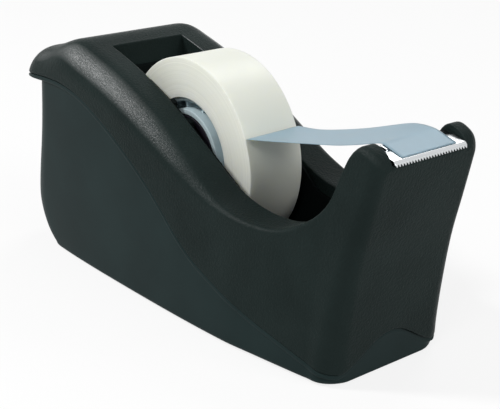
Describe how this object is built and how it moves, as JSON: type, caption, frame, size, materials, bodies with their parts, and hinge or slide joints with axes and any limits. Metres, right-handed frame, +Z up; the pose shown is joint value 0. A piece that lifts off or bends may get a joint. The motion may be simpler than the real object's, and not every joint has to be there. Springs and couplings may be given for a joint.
{
  "type": "tape dispenser",
  "caption": "Desk tape dispenser with a weighted base: a spool in an open well between two shells, and a toothed cutting edge between two raised ears.",
  "frame": {"origin": "middle of the body's length and width, at the surface that it stands on", "axes": "+X towards the cutting edge along the length, +Y to the dispenser's left, +Z up"},
  "size_m": [0.1618, 0.0546, 0.0716],
  "materials": {
    "shell": "fine spark-eroded texture, black",
    "base": "satin moulded, very dark green-grey",
    "well": "matte moulded, black",
    "blade": "bright nickel plate",
    "spool": "satin moulded, black",
    "core": "translucent natural plastic",
    "tape": "wound matte-finish tape, frosty",
    "tail": "single frosty layer of tape",
    "ballast": "cast weight",
    "plate": "moulded, dark",
    "screw": "zinc plated",
    "pad": "closed-cell foam"
  },
  "bodies": {
    "root": {"upper_shell": "shell", "tape_well": "well", "base_shell": "base", "blade_plate": "blade", "blade_seat": "well", "ballast_block": "ballast", "bottom_plate": "plate", "case_screws": "screw", "non_skid_pad": "pad"},
    "tape_end": {"tape_tail": "tail"},
    "spool": {"spool_drum": "spool", "spool_cap": "spool", "tape_core": "core", "tape_roll": "tape"}
  },
  "joints": [
    {"name": "spool_lift", "type": "slide", "parent": "root", "child": "tape_end", "axis": [0, 0, 1], "range_m": [0, 0.065]},
    {"name": "spool_spin", "type": "hinge", "parent": "tape_end", "child": "spool", "pos_m": [-0.0065, 0, 0.042], "axis": [0, 1, 0], "continuous": true}
  ]
}
